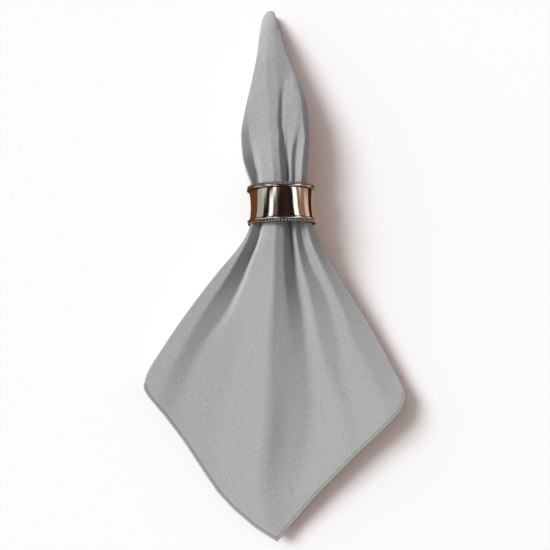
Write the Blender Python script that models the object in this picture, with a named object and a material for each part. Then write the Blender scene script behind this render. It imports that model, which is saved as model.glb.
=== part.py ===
"""Square table napkin, picked up at its middle and drawn through a metal ring.

The napkin lies on a table along Y: the picked-up middle is the tip at +Y, and
the four corners of the cloth lie on one another at -Y. Metres, +Z up.
"""

import math

import bmesh
import bpy
import numpy as np

MM = 0.001

# Cloth
CLOTH_THICKNESS = 1.0 * MM
TIP = {"x": -2.8 * MM, "y": 174.0 * MM, "z": 4.6 * MM}
LAYERS = 8
TOP_INDEX = LAYERS - 1
FOLD_CENTRE_SHARE = 0.86        # where the layers end, as a share of the round section in the ring
SOFT_CROWN_POWER = 1.5          # shape of the flatter sections: higher is narrower at the top
SIDE_POWER = 0.8                # shape of the turned left side: lower is squarer
SMALLEST_TURN = 0.6 * MM        # radius of a turn between two layers
INSETS_START = 30.0 * MM        # the hidden layers draw back from the outline south of here
INSETS_FULL = -20.0 * MM        # and by the whole of their insets south of here
WEB_SAG = 3.0 * MM              # the hidden straight hems bow down this much
INNER_FOLD_GAP = 4.4 * MM       # from the turned left side to the folds inside it

# Plain round section near the tip, in which the layers run out. Angles in degrees from its right side.
SLOTS_START = 146.0 * MM        # the gaps between the layers open from here
SLOTS_LENGTH = 38.0 * MM        # and reach their full depth after this much
OVAL_SHOULDER = 45.0            # the top begins this far up the right side, the bottom this far down
OVAL_TOP_END = 150.0
OVAL_BOTTOM_END = -130.0
OVAL_LAYER_SHARE = 0.16         # how much of the right side each layer takes, up and down

# Ring
RING_CENTRE_X = 4.2 * MM
RING_CENTRE_Y = 44.2 * MM
RING_WAIST_BORE_RADIUS = 18.75 * MM
RING_WALL = 1.0 * MM
RING_RIM_RADIUS = 22.0 * MM     # outside of the lips
RING_LENGTH = 21.5 * MM         # between the outer sides of the lips
LIP_RADIUS = 0.85 * MM
BEAD_WIRE_RADIUS = 0.55 * MM
BEAD_CIRCLE_RADIUS = 21.0 * MM
PIECE_GAP = 0.3 * MM
FLARE_POWER = 2.4               # how late the wall turns out towards its lips
FLARE_GAP = 0.3 * MM            # the wall ends this much inside the circle of a lip's middle
FLAT_SPOT_DEPTH = 0.15 * MM     # how far the lip is flattened where it stands
RING_YAW = math.radians(1.3)
RING_PITCH = math.radians(-2.6)  # the north end dips

# Mesh density
TOP_COLUMNS_LEFT = 13
TOP_COLUMNS_RIGHT = 12
HIDDEN_COLUMNS = 5
BOTTOM_COLUMNS = 8
FOLD_ANGLES = (45.0, 90.0, 135.0)
WRAP_ANGLES = (36.0, 72.0, 108.0, 144.0)
FAN_ROWS = 9
PLANE_ROWS = (173.0, 170.3, 166.5, 161.0, 154.0, 146.0, 135.0, 125.0, 115.0, 105.0, 94.0, 83.0, 73.0,
              65.0, 59.5, 53.0, 44.7, 36.0, 30.5, 27.0, 22.5)
RING_STEPS = 40
BEAD_WIRE_STEPS = 32
FLARE_STEPS = 5                 # from the waist to each lip
LIP_ANGLES = (130.0, 78.0, 26.0, -26.0, -78.0, -130.0)
WIRE_SIDES = 8
HEM_SEARCH_TOP = -60.0 * MM
HEM_SEARCH_STEPS = 40

# One row for each station along the napkin, in millimetres.
# left, right: the cloth's outline. crown, edge: height of the top layer at its
# middle and at its sides. base: height of the lowest layer. lift: how far its
# sides rise. fold: depth of the deepest fold. bulge: how far the left side
# turns out past the ends of the layers. round: 1 where the section is round.
STATIONS = (
    {"y": 173.0, "left": -5.6, "right": -0.3, "crown": 8.0, "edge": 6.0, "base": 2.6, "lift": 1.0,
     "fold": 0.0, "bulge": 1.0, "round": 1.0},
    {"y": 170.3, "left": -7.5, "right": 0.7, "crown": 11.4, "edge": 9.0, "base": 1.4, "lift": 1.2,
     "fold": 0.0, "bulge": 1.5, "round": 1.0},
    {"y": 166.0, "left": -8.9, "right": 2.4, "crown": 15.6, "edge": 13.4, "base": 0.8, "lift": 1.0,
     "fold": 0.0, "bulge": 2.0, "round": 1.0},
    {"y": 157.0, "left": -10.1, "right": 4.8, "crown": 21.6, "edge": 19.2, "base": 0.5, "lift": 0.4,
     "fold": 0.0, "bulge": 2.5, "round": 1.0},
    {"y": 140.0, "left": -11.8, "right": 9.0, "crown": 28.0, "edge": 24.6, "base": 0.5, "lift": 0.6,
     "fold": 0.9, "bulge": 3.0, "round": 0.9},
    {"y": 123.0, "left": -15.1, "right": 15.8, "crown": 31.2, "edge": 25.8, "base": 0.5, "lift": 1.2,
     "fold": 2.6, "bulge": 3.2, "round": 0.8},
    {"y": 103.0, "left": -19.5, "right": 21.4, "crown": 33.4, "edge": 26.2, "base": 0.5, "lift": 2.2,
     "fold": 3.8, "bulge": 3.4, "round": 0.6},
    {"y": 88.0, "left": -21.7, "right": 21.8, "crown": 35.4, "edge": 27.0, "base": 0.6, "lift": 3.8,
     "fold": 5.0, "bulge": 3.4, "round": 0.7},
    {"y": 73.0, "left": -20.5, "right": 21.2, "crown": 38.4, "edge": 29.0, "base": 1.6, "lift": 6.5,
     "fold": 6.5, "bulge": 3.0, "round": 0.9},
    {"y": 64.0, "left": -17.8, "right": 20.9, "crown": 39.5, "edge": 31.0, "base": 3.2, "lift": 8.0,
     "fold": 7.2, "bulge": 2.5, "round": 1.0},
    {"y": 58.0, "left": -15.3, "right": 20.4, "crown": 39.9, "edge": 31.4, "base": 4.6, "lift": 8.4,
     "fold": 7.8, "bulge": 2.5, "round": 1.0},
    {"y": 44.7, "left": -13.5, "right": 22.0, "crown": 39.8, "edge": 31.5, "base": 5.0, "lift": 8.8,
     "fold": 8.0, "bulge": 2.5, "round": 1.0},
    {"y": 32.0, "left": -15.0, "right": 23.5, "crown": 40.1, "edge": 31.4, "base": 5.6, "lift": 8.6,
     "fold": 8.0, "bulge": 2.6, "round": 1.0},
    {"y": 25.0, "left": -18.2, "right": 26.9, "crown": 38.8, "edge": 28.4, "base": 3.4, "lift": 7.0,
     "fold": 8.0, "bulge": 3.4, "round": 0.8},
    {"y": 18.0, "left": -23.1, "right": 30.8, "crown": 36.8, "edge": 24.8, "base": 1.6, "lift": 4.4,
     "fold": 7.6, "bulge": 3.8, "round": 0.6},
    {"y": 2.0, "left": -36.6, "right": 40.0, "crown": 33.0, "edge": 20.6, "base": 0.5, "lift": 1.4,
     "fold": 6.8, "bulge": 4.0, "round": 0.2},
    {"y": -14.0, "left": -49.4, "right": 50.1, "crown": 29.4, "edge": 18.6, "base": 0.5, "lift": 0.2,
     "fold": 5.8, "bulge": 4.2, "round": 0.0},
    {"y": -30.0, "left": -61.6, "right": 60.2, "crown": 26.6, "edge": 17.4, "base": 0.5, "lift": 0.0,
     "fold": 4.8, "bulge": 4.2, "round": 0.0},
    {"y": -50.0, "left": -75.3, "right": 71.6, "crown": 24.0, "edge": 16.4, "base": 0.5, "lift": 0.0,
     "fold": 3.8, "bulge": 4.2, "round": 0.0},
    {"y": -63.0, "left": -83.4, "right": 78.6, "crown": 22.8, "edge": 16.0, "base": 0.5, "lift": 0.0,
     "fold": 3.2, "bulge": 4.2, "round": 0.0},
    {"y": -76.0, "left": -88.3, "right": 85.2, "crown": 21.6, "edge": 15.8, "base": 0.5, "lift": 0.0,
     "fold": 2.6, "bulge": 4.2, "round": 0.0},
    {"y": -115.0, "left": -115.0, "right": 110.0, "crown": 16.4, "edge": 14.6, "base": -0.6, "lift": 0.0,
     "fold": 1.6, "bulge": 4.2, "round": 0.0},
    {"y": -178.0, "left": -156.0, "right": 152.0, "crown": 10.6, "edge": 10.0, "base": -0.6, "lift": 0.0,
     "fold": 0.2, "bulge": 4.2, "round": 0.0},
)

# Lower edge of the visible corner of cloth: where its hem runs, from the left
# fold to the right one, in millimetres.
HEM = (
    {"x": -86.0, "y": -69.5}, {"x": -85.7, "y": -75.0}, {"x": -83.0, "y": -79.6}, {"x": -72.4, "y": -92.4},
    {"x": -59.8, "y": -109.6}, {"x": -47.6, "y": -127.9}, {"x": -37.8, "y": -142.4},
    {"x": -27.7, "y": -153.2}, {"x": -13.4, "y": -165.4}, {"x": 1.6, "y": -174.3},
    {"x": 28.8, "y": -141.0}, {"x": 50.8, "y": -117.6}, {"x": 79.8, "y": -88.7}, {"x": 83.8, "y": -83.2},
    {"x": 84.8, "y": -76.0},
)
CORNER = {"x": 1.6 * MM, "y": -174.3 * MM}
HEM_LEFT_Y = -69.5 * MM
HEM_RIGHT_Y = -76.0 * MM

# How far each layer's hem and right fold stay inside those of the top layer.
LAYER_INSETS = (
    {"hem": 0.0, "side": 0.0}, {"hem": 0.0, "side": 0.0}, {"hem": 1.6, "side": 1.0}, {"hem": 1.6, "side": 1.0},
    {"hem": 2.4, "side": 0.4}, {"hem": 2.4, "side": 0.4}, {"hem": 3.2, "side": 1.4}, {"hem": 3.2, "side": 1.4},
)

# Main folds of the top layer. Each row gives the fold's place and half width
# in millimetres and its share of the deepest fold at that station.
FOLDS = {
    "left": (
        {"y": 96.0, "x": -15.0, "half": 3.0, "share": 0.0}, {"y": 79.0, "x": -13.6, "half": 4.5, "share": 0.5},
        {"y": 56.0, "x": -8.3, "half": 4.0, "share": 0.8}, {"y": 32.0, "x": -8.2, "half": 3.2, "share": 1.0},
        {"y": 15.0, "x": -13.0, "half": 3.8, "share": 1.0}, {"y": 3.0, "x": -20.6, "half": 5.0, "share": 0.95},
        {"y": -22.0, "x": -34.6, "half": 7.5, "share": 0.85}, {"y": -42.0, "x": -46.0, "half": 9.0, "share": 0.7},
        {"y": -60.0, "x": -57.0, "half": 9.0, "share": 0.4}, {"y": -85.0, "x": -72.0, "half": 8.0, "share": 0.0},
    ),
    "left soft": (
        {"y": 20.0, "x": -8.4, "half": 2.5, "share": 0.0}, {"y": 2.0, "x": -12.0, "half": 4.0, "share": 0.3},
        {"y": -35.0, "x": -19.6, "half": 6.0, "share": 0.4}, {"y": -68.0, "x": -23.0, "half": 7.0, "share": 0.2},
        {"y": -90.0, "x": -25.0, "half": 8.0, "share": 0.0},
    ),
    "middle": (
        {"y": 33.0, "x": 2.6, "half": 1.8, "share": 0.2}, {"y": 10.0, "x": 4.6, "half": 3.4, "share": 0.45},
        {"y": -35.0, "x": 7.6, "half": 8.0, "share": 0.6}, {"y": -81.0, "x": 8.4, "half": 10.0, "share": 0.8},
        {"y": -128.0, "x": 6.6, "half": 9.0, "share": 0.7}, {"y": -160.0, "x": 4.0, "half": 8.0, "share": 0.0},
    ),
    "deep": (
        {"y": 128.0, "x": 8.4, "half": 2.6, "share": 0.0}, {"y": 113.0, "x": 5.4, "half": 3.2, "share": 0.8},
        {"y": 99.0, "x": 4.0, "half": 3.2, "share": 0.95}, {"y": 79.0, "x": 3.8, "half": 2.8, "share": 0.8},
        {"y": 56.0, "x": 6.0, "half": 2.6, "share": 0.8}, {"y": 32.0, "x": 7.6, "half": 2.8, "share": 1.0},
        {"y": 9.0, "x": 10.2, "half": 3.6, "share": 1.0}, {"y": -10.0, "x": 11.8, "half": 4.2, "share": 0.95},
        {"y": -29.0, "x": 16.4, "half": 4.6, "share": 0.8}, {"y": -49.0, "x": 21.6, "half": 4.6, "share": 0.5},
        {"y": -68.0, "x": 26.0, "half": 4.6, "share": 0.0},
    ),
    "right": (
        {"y": 98.0, "x": 15.6, "half": 1.6, "share": 0.0}, {"y": 86.0, "x": 14.6, "half": 2.2, "share": 0.6},
        {"y": 60.0, "x": 12.2, "half": 3.2, "share": 1.0}, {"y": 32.0, "x": 14.6, "half": 2.4, "share": 0.85},
        {"y": 15.0, "x": 19.0, "half": 3.4, "share": 0.8}, {"y": -10.0, "x": 27.6, "half": 5.6, "share": 0.75},
        {"y": -36.0, "x": 37.4, "half": 7.0, "share": 0.65}, {"y": -68.0, "x": 43.0, "half": 7.5, "share": 0.4},
        {"y": -98.0, "x": 50.0, "half": 7.5, "share": 0.0},
    ),
}


def smooth_column(rows, column, at):
    """A smooth curve through one column of a table, read at the values of y in millimetres."""
    order = sorted(rows, key=lambda row: row["y"])
    places = np.array([row["y"] for row in order])
    values = np.array([row[column] for row in order])
    slopes = even_slopes(values, places)
    at = np.clip(np.asarray(at, dtype=float), places[0], places[-1])
    cell = np.clip(np.searchsorted(places, at) - 1, 0, len(places) - 2)
    span = places[cell + 1] - places[cell]
    t = (at - places[cell]) / span
    start = values[cell] * (1 + 2 * t) * (1 - t) ** 2 + slopes[cell] * span * t * (1 - t) ** 2
    end = values[cell + 1] * t * t * (3 - 2 * t) - slopes[cell + 1] * span * t * t * (1 - t)
    return start + end


def even_slopes(values, places):
    """Slopes at the rows of a table that let the curve between them rise and fall only where they do."""
    steps = np.diff(values) / np.diff(places)
    slopes = np.concatenate([steps[:1], np.zeros(len(steps) - 1), steps[-1:]])
    before, after = steps[:-1], steps[1:]
    same_way = before * after > 0
    total = np.where(same_way, before + after, 1.0)
    slopes[1:-1] = np.where(same_way, 2 * before * after / total, 0.0)
    return slopes


def smooth_step(value, low, high):
    """0 at low, 1 at high, with no corner at either."""
    t = np.clip((value - low) / (high - low), 0.0, 1.0)
    return t * t * (3 - 2 * t)


def station(y):
    """All columns of the station table at the heights of y, in metres."""
    names = ("left", "right", "crown", "edge", "base", "lift", "fold", "bulge", "round")
    values = {name: smooth_column(STATIONS, name, y / MM) for name in names}
    return {name: values[name] if name == "round" else values[name] * MM for name in names}


def fold_share(x, y):
    """Depth of the top layer's folds at a point, from 0 on a ridge to 1 in the deepest valley."""
    left_over = np.ones_like(x)
    for rows in FOLDS.values():
        last = max(row["y"] for row in rows)
        first = min(row["y"] for row in rows)
        inside = (y / MM <= last) & (y / MM >= first)
        offset = (x / MM - smooth_column(rows, "x", y / MM)) / smooth_column(rows, "half", y / MM)
        share = np.clip(smooth_column(rows, "share", y / MM), 0.0, 1.0)
        left_over = left_over * (1 - np.where(inside, share * np.exp(-offset ** 2), 0.0))
    return 1 - left_over


def side_profile(index):
    """How far a side stands out at a layer's height: 0 at the top and bottom layers, 1 half way."""
    across = 2 * index / TOP_INDEX - 1
    return np.clip(1 - across ** 2, 0.0, 1.0) ** SIDE_POWER


def height(x, y, index, here):
    """Height of the layer with that index (0 lowest, 7 top) over a point of the table."""
    left = here["left"] + CLOTH_THICKNESS / 2 + here["bulge"]
    right = here["right"] - CLOTH_THICKNESS / 2 - here["bulge"]
    across = np.clip((2 * x - left - right) / (right - left), -1.0, 1.0)
    edge_rise = math.sqrt(1 - FOLD_CENTRE_SHARE ** 2)
    round_crown = (np.sqrt(1 - (FOLD_CENTRE_SHARE * across) ** 2) - edge_rise) / (1 - edge_rise)
    soft_crown = (1 - across ** 2) ** SOFT_CROWN_POWER
    crown = here["round"] * round_crown + (1 - here["round"]) * soft_crown
    top = here["edge"] + (here["crown"] - here["edge"]) * crown
    bottom = here["base"] + here["lift"] * (1 - round_crown)
    room = here["fold"] * (1 - across ** 4)
    pitch = (top - room - bottom) / TOP_INDEX
    lower = bottom + np.minimum(index, TOP_INDEX - 1) * pitch
    over = np.clip(index - (TOP_INDEX - 1), 0.0, 1.0)
    result = lower + over * (pitch + room * (1 - fold_share(x, y)))
    return np.maximum(result, CLOTH_THICKNESS / 2)


def layer_ends(layer, y, here):
    """Left and right end of one layer, where its turns begin."""
    index = TOP_INDEX - layer
    inset = LAYER_INSETS[layer]["side"] * MM * smooth_step(-y, -INSETS_START, -INSETS_FULL)
    left_side = here["left"] + CLOTH_THICKNESS / 2
    right_side = here["right"] - CLOTH_THICKNESS / 2
    turn = turn_radius(y, here)
    if layer in (0, LAYERS - 1):
        left = left_side + here["bulge"]
    else:
        pair = 2 * ((index + 1) // 2) - 0.5
        left = left_side + INNER_FOLD_GAP + here["bulge"] * (1 - side_profile(pair)) + turn
    pair = 2 * (index // 2) + 0.5
    right = right_side - here["bulge"] * 0.9 * here["round"] * (1 - side_profile(pair)) - inset - turn
    return left, right


def turn_radius(y, here):
    """Half the distance between the layers at their ends."""
    thick = here["edge"] - here["base"] - here["lift"]
    return np.maximum(thick / TOP_INDEX / 2, SMALLEST_TURN)


def columns():
    """The columns of the sheet in the order in which they go round it once.

    Each is (kind, layer, place): a share of a layer's width, or an angle in a turn.
    """
    result = []
    for layer in range(LAYERS):
        if layer == 0:
            places = top_places()
        else:
            steps = BOTTOM_COLUMNS if layer == LAYERS - 1 else HIDDEN_COLUMNS
            places = [i / (steps - 1) for i in range(steps)]
        result += [("layer", layer, place) for place in places]
        if layer < LAYERS - 1:
            result += [("turn", layer, math.radians(angle)) for angle in FOLD_ANGLES]
    result += [("wrap", LAYERS - 1, math.radians(angle)) for angle in WRAP_ANGLES]
    return result


def top_places():
    """Places across the top layer, with one that ends in the corner of the cloth."""
    here = station(np.array([CORNER["y"]]))
    left, right = layer_ends(0, np.array([CORNER["y"]]), here)
    corner = float((CORNER["x"] - left[0]) / (right[0] - left[0]))
    first = [corner * i / TOP_COLUMNS_LEFT for i in range(TOP_COLUMNS_LEFT)]
    second = [corner + (1 - corner) * i / TOP_COLUMNS_RIGHT for i in range(TOP_COLUMNS_RIGHT + 1)]
    return first + second


def column_points(column, y):
    """The sheet's middle surface along one column, at the stations y."""
    kind, layer, place = column
    here = station(y)
    left, right = layer_ends(layer, y, here)
    index = np.full_like(y, TOP_INDEX - layer)
    outward = np.zeros_like(y)
    if kind == "layer":
        share = place if layer % 2 == 0 else 1 - place
        x = left + share * (right - left)
    elif kind == "turn":
        way = 1 if layer % 2 == 0 else -1
        x = right if way > 0 else left
        outward = way * turn_radius(y, here) * math.sin(place)
        index += 0.5 * math.cos(place) - 0.5
    else:
        index = np.full_like(y, TOP_INDEX / 2 * (1 - math.cos(place)))
        x = left - here["bulge"] * side_profile(index)
    z = height(x + outward, y, index, here)
    return blend_to_tip(x, y, z, outward, oval_angle(kind, layer, place), here)


def blend_to_tip(x, y, z, outward, angle, here):
    """Near the tip the layers run out into one plain round section."""
    layered = np.clip((SLOTS_START - y) / SLOTS_LENGTH, 0.0, 1.0)
    turned = smooth_step(layered, 0.0, 0.3)
    tuck = turned * turn_radius(y, here)
    middle = (here["left"] + here["right"] - tuck) / 2
    half_width = (here["right"] - here["left"] - CLOTH_THICKNESS - tuck) / 2
    half_height = (here["crown"] - here["base"]) / 2
    oval_x = middle + half_width * math.cos(angle)
    oval_z = here["base"] + half_height * (1 + math.sin(angle))
    return oval_x + layered * (x - oval_x) + turned * outward, y, oval_z + layered * (z - oval_z)


def oval_angle(kind, layer, place):
    """Where a column lies on the plain round section: over its top, down its right, back below."""
    if kind == "wrap":
        left_side = OVAL_TOP_END - 360.0 - OVAL_BOTTOM_END
        return math.radians(OVAL_BOTTOM_END + left_side * place / math.pi)
    if kind == "layer" and layer == 0:
        return math.radians(OVAL_TOP_END + (OVAL_SHOULDER - OVAL_TOP_END) * place)
    if kind == "layer" and layer == LAYERS - 1:
        return math.radians(-OVAL_SHOULDER + (OVAL_BOTTOM_END + OVAL_SHOULDER) * place)
    level = TOP_INDEX - layer
    if kind == "layer":
        level += OVAL_LAYER_SHARE * (1 - 2 * place)
    else:
        level += (0.5 - OVAL_LAYER_SHARE) * math.cos(place) - 0.5
    return math.asin(math.sin(math.radians(OVAL_SHOULDER)) * (2 * level / TOP_INDEX - 1))


def hem_y(column):
    """Where a column ends at the hem."""
    kind, layer, place = column
    inset = LAYER_INSETS[layer]["hem"] * MM
    share = place if layer % 2 == 0 else 1 - place
    if kind == "wrap":
        return HEM_LEFT_Y
    if kind == "turn":
        return (HEM_RIGHT_Y if layer % 2 == 0 else HEM_LEFT_Y) + inset
    if layer % 2 == 1:
        straight = HEM_LEFT_Y + share * (HEM_RIGHT_Y - HEM_LEFT_Y)
        return straight - WEB_SAG * math.sin(math.pi * share) + inset
    hem_x = [row["x"] for row in HEM]
    hem_line = [row["y"] for row in HEM]
    high, low = HEM_SEARCH_TOP, STATIONS[-1]["y"] * MM
    for _ in range(HEM_SEARCH_STEPS):
        y = np.array([(high + low) / 2])
        left, right = layer_ends(layer, y, station(y))
        x = float(left[0] + share * (right[0] - left[0]))
        wanted = np.interp(x / MM, hem_x, hem_line) * MM + inset
        if y[0] > wanted:
            high = y[0]
        else:
            low = y[0]
    return (high + low) / 2


def sheet_grid():
    """Middle surface as rows of points from the tip to the hem, each row once round the sheet."""
    all_columns = columns()
    count = len(all_columns)
    upper = np.array(PLANE_ROWS) * MM
    steps = np.arange(1, FAN_ROWS + 1) / FAN_ROWS
    grid = np.zeros((len(upper) + FAN_ROWS, count, 3))
    for number, column in enumerate(all_columns):
        end = hem_y(column)
        y = np.concatenate([upper, upper[-1] + steps * (end - upper[-1])])
        x, y, z = column_points(column, y)
        grid[:, number] = np.stack([x, y, z], axis=1)
    return grid


def grid_normals(grid, tip):
    """Outward unit normals of the middle surface."""
    above = np.concatenate([np.broadcast_to(tip, grid[:1].shape), grid[:-1]])
    below = np.concatenate([grid[1:], grid[-1:]])
    before = np.roll(grid, 1, axis=1)
    after = np.roll(grid, -1, axis=1)
    normal = np.zeros_like(grid)
    for first, second in ((above, before), (before, below), (below, after), (after, above)):
        normal += unit(np.cross(first - grid, second - grid))
    return unit(normal)


def unit(vectors):
    """Vectors scaled to length one, with zeros left as they are."""
    lengths = np.linalg.norm(vectors, axis=-1, keepdims=True)
    return vectors / np.where(lengths > 0, lengths, 1.0)


def build_napkin(colour):
    """One closed sheet: an outer and an inner side, joined along the hem."""
    grid = sheet_grid()
    tip = np.array([TIP["x"], TIP["y"], TIP["z"]])
    normals = grid_normals(grid, tip)
    half = CLOTH_THICKNESS / 2
    outer = grid + half * normals
    inner = grid - half * normals
    outer[..., 2] = np.maximum(outer[..., 2], 0.0)
    inner[..., 2] = np.maximum(inner[..., 2], 0.0)
    rows, count = grid.shape[:2]
    mesh = bmesh.new()
    outer_vertices = [[mesh.verts.new(point) for point in row] for row in outer]
    inner_vertices = [[mesh.verts.new(point) for point in row] for row in inner]
    outer_tip = mesh.verts.new(tip + np.array([0.0, half, 0.0]))
    inner_tip = mesh.verts.new(tip - np.array([0.0, half, 0.0]))
    for i in range(count):
        j = (i + 1) % count
        mesh.faces.new((outer_tip, outer_vertices[0][i], outer_vertices[0][j]))
        mesh.faces.new((inner_tip, inner_vertices[0][j], inner_vertices[0][i]))
        for row in range(rows - 1):
            upper, lower = outer_vertices[row], outer_vertices[row + 1]
            mesh.faces.new((upper[j], upper[i], lower[i], lower[j]))
            upper, lower = inner_vertices[row], inner_vertices[row + 1]
            mesh.faces.new((upper[i], upper[j], lower[j], lower[i]))
        mesh.faces.new((outer_vertices[-1][j], outer_vertices[-1][i], inner_vertices[-1][i], inner_vertices[-1][j]))
    bmesh.ops.triangulate(mesh, faces=mesh.faces[:])
    return add_object("napkin", mesh, colour, 0.75, 0.0)


def add_object(name, mesh, colour, roughness, metallic):
    """A scene object from a bmesh, shaded smooth, with its own material."""
    data = bpy.data.meshes.new(name)
    mesh.to_mesh(data)
    mesh.free()
    data.shade_smooth()
    material = bpy.data.materials.new(name + "_material")
    material.use_nodes = True
    shader = material.node_tree.nodes["Principled BSDF"]
    shader.inputs["Base Color"].default_value = colour
    shader.inputs["Roughness"].default_value = roughness
    shader.inputs["Metallic"].default_value = metallic
    data.materials.append(material)
    piece = bpy.data.objects.new(name, data)
    bpy.context.scene.collection.objects.link(piece)
    return piece


def band_profile():
    """Closed profile of the ring's wall as (radius, place along the axis)."""
    half_length = RING_LENGTH / 2
    lip_circle = RING_RIM_RADIUS - LIP_RADIUS
    lip_place = half_length - LIP_RADIUS
    waist = RING_WAIST_BORE_RADIUS + RING_WALL
    rise = lip_circle - FLARE_GAP - waist
    outside = []
    for i in range(-FLARE_STEPS, FLARE_STEPS + 1):
        share = i / (FLARE_STEPS + 1)
        outside.append((waist + rise * abs(share) ** FLARE_POWER, share * lip_place))
    inside = [(radius - RING_WALL, place) for radius, place in reversed(outside[::2])]
    return outside + lip(lip_place, lip_circle, 1) + inside + lip(-lip_place, lip_circle, -1)


def lip(place, circle, end):
    """The round lip at one end of the wall, from its outside to its inside."""
    points = []
    for degrees in LIP_ANGLES[::end]:
        angle = math.radians(degrees)
        points.append((circle + LIP_RADIUS * math.sin(angle), place + end * LIP_RADIUS * math.cos(angle)))
    return points


def turned(profile, steps):
    """A closed profile turned round the Y axis."""
    mesh = bmesh.new()
    rings = []
    for step in range(steps):
        angle = 2 * math.pi * step / steps
        rings.append([mesh.verts.new((r * math.sin(angle), along, r * math.cos(angle))) for r, along in profile])
    for step in range(steps):
        first, second = rings[step], rings[(step + 1) % steps]
        for i in range(len(profile)):
            j = (i + 1) % len(profile)
            mesh.faces.new((first[i], first[j], second[j], second[i]))
    bmesh.ops.triangulate(mesh, faces=mesh.faces[:])
    bmesh.ops.recalc_face_normals(mesh, faces=mesh.faces[:])
    return mesh


def place_on_ring(mesh):
    """Moves a turned piece to the ring's place and flattens what would reach into the table."""
    turn = np.array([[math.cos(RING_YAW), -math.sin(RING_YAW), 0.0],
                     [math.sin(RING_YAW), math.cos(RING_YAW), 0.0], [0.0, 0.0, 1.0]])
    tilt = np.array([[1.0, 0.0, 0.0], [0.0, math.cos(RING_PITCH), -math.sin(RING_PITCH)],
                     [0.0, math.sin(RING_PITCH), math.cos(RING_PITCH)]])
    centre = np.array([RING_CENTRE_X, RING_CENTRE_Y, ring_centre_height()])
    for vertex in mesh.verts:
        vertex.co = turn @ tilt @ np.array(vertex.co) + centre
        vertex.co.z = max(vertex.co.z, 0.0)


def ring_centre_height():
    """Height at which the lower lip just stands, less the depth of its flat spot."""
    lip_circle = RING_RIM_RADIUS - LIP_RADIUS
    reach = (RING_LENGTH / 2 - LIP_RADIUS) * math.sin(abs(RING_PITCH))
    return lip_circle * math.cos(RING_PITCH) + reach + LIP_RADIUS - FLAT_SPOT_DEPTH


def build_ring_band(colour):
    """The polished band with its two lips."""
    mesh = turned(band_profile(), RING_STEPS)
    place_on_ring(mesh)
    return add_object("ring_band", mesh, colour, 0.08, 1.0)


def build_bead_rim(name, end, colour):
    """The plain wire that carries the beads, round one lip."""
    place = end * (RING_LENGTH / 2 + PIECE_GAP + BEAD_WIRE_RADIUS)
    profile = []
    for step in range(WIRE_SIDES):
        angle = 2 * math.pi * step / WIRE_SIDES
        profile.append((BEAD_CIRCLE_RADIUS + BEAD_WIRE_RADIUS * math.cos(angle),
                        place + BEAD_WIRE_RADIUS * math.sin(angle)))
    mesh = turned(profile, BEAD_WIRE_STEPS)
    place_on_ring(mesh)
    return add_object(name, mesh, colour, 0.15, 1.0)


def clear_scene():
    """Removes whatever the start-up file holds."""
    for piece in list(bpy.data.objects):
        bpy.data.objects.remove(piece, do_unlink=True)


def main():
    clear_scene()
    cloth_grey = (0.40, 0.40, 0.38, 1.0)
    silver = (0.80, 0.78, 0.75, 1.0)
    build_napkin(cloth_grey)
    build_ring_band(silver)
    build_bead_rim("bead_rim_south", -1, silver)
    build_bead_rim("bead_rim_north", 1, silver)


main()
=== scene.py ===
"""Looks of a grey table napkin drawn through a beaded silver ring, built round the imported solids.

Everything is in metres in the frame of the solids: the napkin lies along Y with
its picked-up middle at +Y, and +Z is up from the table.
"""

import math

import bmesh
import bpy
import numpy as np
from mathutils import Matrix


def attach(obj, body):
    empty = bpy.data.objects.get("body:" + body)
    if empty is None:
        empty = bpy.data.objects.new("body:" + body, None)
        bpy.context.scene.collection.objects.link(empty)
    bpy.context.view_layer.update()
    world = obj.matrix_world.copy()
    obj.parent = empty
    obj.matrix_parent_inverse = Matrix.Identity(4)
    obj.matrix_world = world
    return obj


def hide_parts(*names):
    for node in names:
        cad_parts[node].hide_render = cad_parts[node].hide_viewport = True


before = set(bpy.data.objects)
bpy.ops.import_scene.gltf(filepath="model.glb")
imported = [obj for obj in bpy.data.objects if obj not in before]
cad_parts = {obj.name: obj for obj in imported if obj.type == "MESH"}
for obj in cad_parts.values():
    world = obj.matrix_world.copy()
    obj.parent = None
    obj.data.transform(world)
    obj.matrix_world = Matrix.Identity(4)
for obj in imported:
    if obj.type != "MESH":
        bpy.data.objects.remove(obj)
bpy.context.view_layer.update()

MM = 0.001

# Napkin
NAPKIN_SIDE = 508.0 * MM
CLOTH_THICKNESS = 0.44 * MM
TIP = {"x": -2.8 * MM, "y": 174.0 * MM, "z": 4.6 * MM}
LAYERS = 8
TOP_INDEX = LAYERS - 1
FOLD_CENTRE_SHARE = 0.86        # where the layers end, as a share of the round section in the ring
SOFT_CROWN_POWER = 1.5          # shape of the flatter sections: higher is narrower at the top
SIDE_POWER = 0.8                # shape of the turned left side: lower is squarer
SMALLEST_TURN = 0.6 * MM        # radius of a turn between two layers
INSETS_START = 30.0 * MM        # the hidden layers draw back from the outline south of here
INSETS_FULL = -20.0 * MM        # and by the whole of their insets south of here
WEB_SAG = 3.0 * MM              # the hidden straight hems bow down this much
INNER_FOLD_GAP = 4.4 * MM       # from the turned left side to the folds inside it
RIGHT_BULGE_SHARE = 0.9         # how far the right side turns out, as a share of the left side's bulge

# Plain round section near the tip, in which the layers run out. Angles in degrees from its right side.
SLOTS_START = 164.0 * MM        # the gaps between the layers open from here
SLOTS_LENGTH = 30.0 * MM        # and reach their full depth after this much
TURNS_OPEN_BY = 0.3             # the turns are full size after this share of that length
OVAL_SHOULDER = 45.0            # the top begins this far up the right side, the bottom this far down
OVAL_TOP_END = 150.0
OVAL_BOTTOM_END = -130.0
OVAL_LAYER_SHARE = 0.16         # how much of the right side each layer takes, up and down
OVAL_POWER = 0.8                # lower is squarer
OVAL_POWER_TO_RIGHT = 0.25      # the power is higher by this on the right side, lower on the left one

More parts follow.
